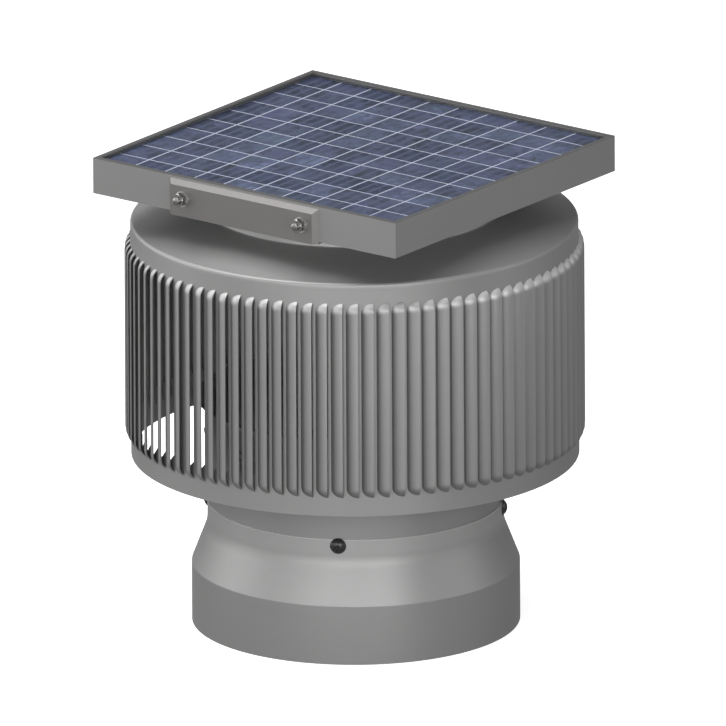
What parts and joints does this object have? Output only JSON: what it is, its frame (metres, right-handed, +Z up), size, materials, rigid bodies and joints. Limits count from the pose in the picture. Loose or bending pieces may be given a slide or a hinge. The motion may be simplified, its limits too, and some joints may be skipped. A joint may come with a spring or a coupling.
{
  "type": "pipe cap ventilator",
  "caption": "Solar powered ventilator for a pipe end: a collar, a fan in a throat tube, a louvred drum under a spun cap and a flat panel on brackets.",
  "frame": {"origin": "centre of the pipe collar's lower rim", "axes": "+Z up along the fan's axis; the panel's sides run along X and Y, with its brackets on -Y and +Y"},
  "size_m": [0.4602, 0.4602, 0.492],
  "materials": {
    "sheet": "satin grey coating on spun and pressed sheet",
    "bracket": "satin warm grey coating",
    "mount_plate": "zinc plated, matt",
    "frame": "anodised grey",
    "blade": "mill finish",
    "steel": "stainless, bright",
    "black_screw": "black oxide",
    "motor_steel": "satin black coating",
    "magnet": "sintered",
    "copper": "enamelled wire and bars",
    "carbon": "pressed carbon",
    "plastic": "moulded, fine grain",
    "rubber": "soft matt",
    "glass": "tempered, clear",
    "cell": "blue polycrystalline with light grid lines",
    "backsheet": "white laminate"
  },
  "bodies": {
    "housing": {"pipe_collar": "sheet", "throat_tube": "sheet", "louvered_drum": "sheet", "top_cap": "sheet", "drum_stay_1": "sheet", "drum_stay_2": "sheet", "drum_stay_3": "sheet", "drum_stay_4": "sheet", "front_bracket": "bracket", "rear_bracket": "bracket", "motor_bracket": "mount_plate", "panel_rail_front": "frame", "panel_rail_rear": "frame", "panel_rail_left": "frame", "panel_rail_right": "frame", "collar_nuts": "steel", "stay_rivets": "steel", "bracket_arm_bolts": "steel", "bracket_arm_nuts": "steel", "motor_screws": "steel", "lower_bearing": "steel", "upper_bearing": "steel", "corner_angles": "steel", "side_bolts": "steel", "side_washers": "steel", "side_nuts": "steel", "side_spacers": "steel", "flange_bolts": "steel", "flange_washers": "steel", "flange_nuts": "steel", "collar_screws": "black_screw", "motor_can": "motor_steel", "motor_magnets": "magnet", "carbon_brushes": "carbon", "motor_end_bell": "plastic", "brush_card": "plastic", "junction_box": "plastic", "junction_lid": "plastic", "cable_gland": "plastic", "wire_grommet": "rubber", "panel_glass": "glass", "solar_cells": "cell", "panel_backsheet": "backsheet"},
    "fan": {"motor_shaft": "steel", "armature": "copper", "commutator": "copper", "fan_spider": "steel", "blade_rivets": "steel", "hub_set_screw": "black_screw", "fan_blade_1": "blade", "fan_blade_2": "blade", "fan_blade_3": "blade", "fan_blade_4": "blade", "fan_blade_5": "blade"}
  },
  "joints": [
    {"name": "fan_spin", "type": "hinge", "parent": "housing", "child": "fan", "pos_m": [0, 0, 0.148], "axis": [0, 0, 1], "continuous": true}
  ]
}
